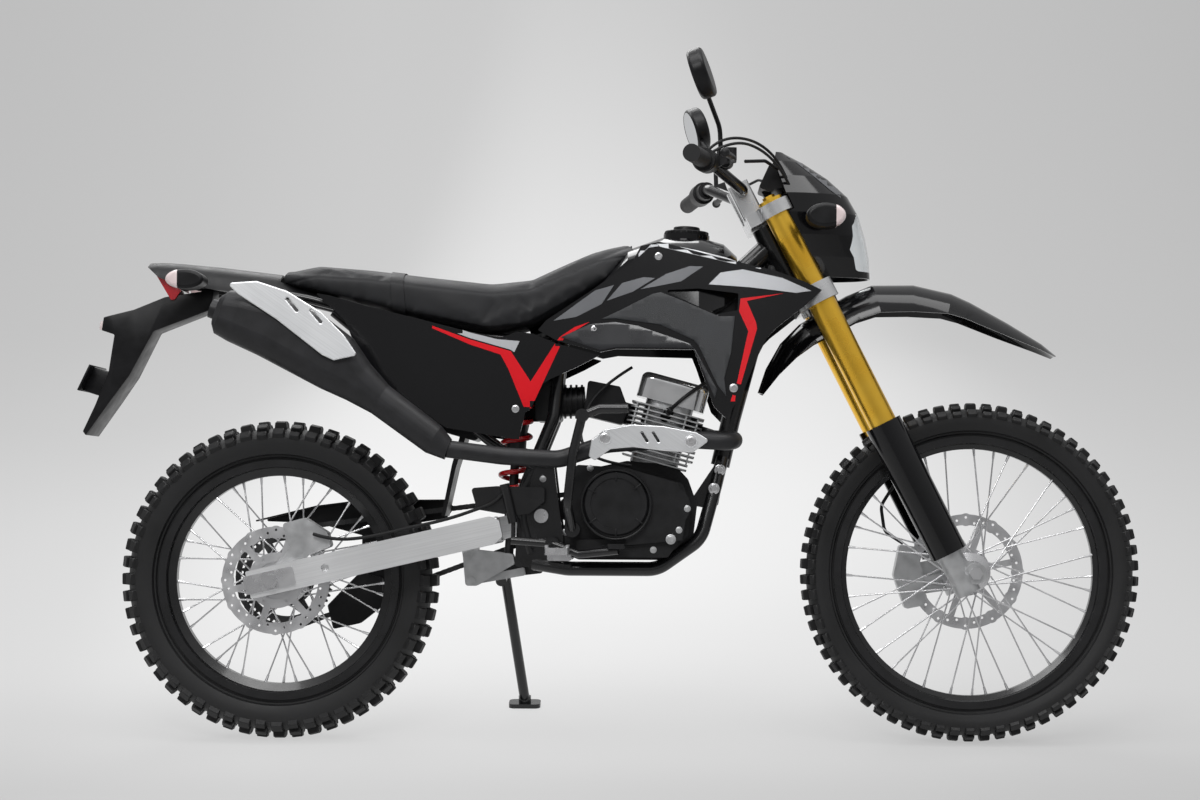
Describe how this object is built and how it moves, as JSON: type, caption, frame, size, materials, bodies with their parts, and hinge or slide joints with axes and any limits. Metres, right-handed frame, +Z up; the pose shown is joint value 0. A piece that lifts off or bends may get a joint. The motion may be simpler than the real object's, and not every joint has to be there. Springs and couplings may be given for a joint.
{
  "type": "trail motorcycle",
  "caption": "Small off-road motorcycle with knobby spoked wheels, gold upside-down forks, single-cylinder engine, high muffler and long front fender, parked on its side stand.",
  "frame": {"origin": "middle of the bounding box at floor level, with the machine leaning on its side stand", "axes": "+X forward along the machine, +Y to the rider's left, +Z up from the floor"},
  "size_m": [2.1016, 0.8354, 1.362],
  "materials": {
    "frame_paint": "satin black",
    "engine_paint": "satin black coated casting",
    "bare_aluminium": "cast, as made",
    "brushed_aluminium": "brushed",
    "gold_anodised": "gold anodised",
    "polished_chrome": "polished",
    "bright_steel": "bright zinc",
    "red_spring_paint": "gloss red",
    "tyre_rubber": "matt",
    "grip_rubber": "matt",
    "black_plastic": "fine grain",
    "gloss_black_plastic": "gloss",
    "saddle_cover": "textured vinyl",
    "red_lens": "clear red",
    "amber_lens": "clear",
    "clear_lens": "clear",
    "bright_bowl": "vacuum metallised",
    "looking_glass": "mirror"
  },
  "bodies": {
    "chassis": {"main_frame": "frame_paint", "subframe": "frame_paint", "engine_case": "engine_paint", "cylinder": "bare_aluminium", "head_cover": "brushed_aluminium", "air_intake": "black_plastic", "exhaust": "frame_paint", "heat_shields": "brushed_aluminium", "swingarm": "brushed_aluminium", "rear_axle": "bright_steel", "shock_body": "bright_steel", "shock_spring": "red_spring_paint", "suspension_link": "bare_aluminium", "fuel_tank": "gloss_black_plastic", "fuel_cap": "gloss_black_plastic", "saddle": "saddle_cover", "tank_shrouds": "gloss_black_plastic", "side_covers": "gloss_black_plastic", "rear_fender": "black_plastic", "tail_light": "red_lens", "rear_signals": "amber_lens", "plate_bracket": "black_plastic", "chain": "bright_steel", "chain_guards": "black_plastic", "foot_pegs": "bright_steel", "foot_controls": "frame_paint", "rear_caliper": "bare_aluminium"},
    "steering": {"fork_tubes": "gold_anodised", "fork_sliders": "polished_chrome", "fork_lugs": "bare_aluminium", "fork_guards": "black_plastic", "triple_clamps": "bare_aluminium", "handlebar": "frame_paint", "grips": "grip_rubber", "hand_controls": "engine_paint", "mirrors": "black_plastic", "mirror_glass": "looking_glass", "headlight_lens": "clear_lens", "headlight_cowl": "gloss_black_plastic", "headlight_bowl": "bright_bowl", "front_signals": "amber_lens", "instrument_panel": "black_plastic", "front_fender": "gloss_black_plastic", "front_caliper": "bare_aluminium", "front_axle": "bright_steel", "front_cables": "grip_rubber"},
    "front_wheel": {"front_tyre": "tyre_rubber", "front_rim": "engine_paint", "front_hub": "bright_steel", "front_disc": "bright_steel"},
    "rear_wheel": {"rear_tyre": "tyre_rubber", "rear_rim": "engine_paint", "rear_hub": "bright_steel", "rear_disc": "bright_steel", "rear_sprocket": "bright_steel"},
    "stand": {"side_stand": "frame_paint"}
  },
  "joints": [
    {"name": "steering", "type": "hinge", "parent": "chassis", "child": "steering", "pos_m": [0.33828, -0.04607, 0.94167], "axis": [-0.4571, 0.1544, 0.8759], "range_deg": [-42, 42]},
    {"name": "front_wheel_spin", "type": "hinge", "parent": "steering", "child": "front_wheel", "pos_m": [0.71284, -0.15321, 0.33402], "axis": [0, 0.9848, -0.1736], "continuous": true},
    {"name": "rear_wheel_spin", "type": "hinge", "parent": "chassis", "child": "rear_wheel", "pos_m": [-0.66216, -0.15704, 0.31235], "axis": [0, 0.9848, -0.1736], "continuous": true},
    {"name": "side_stand_fold", "type": "hinge", "parent": "chassis", "child": "stand", "pos_m": [-0.22616, -0.02125, 0.31075], "axis": [0, 0.9923, 0.1235], "range_deg": [0, 95]}
  ]
}
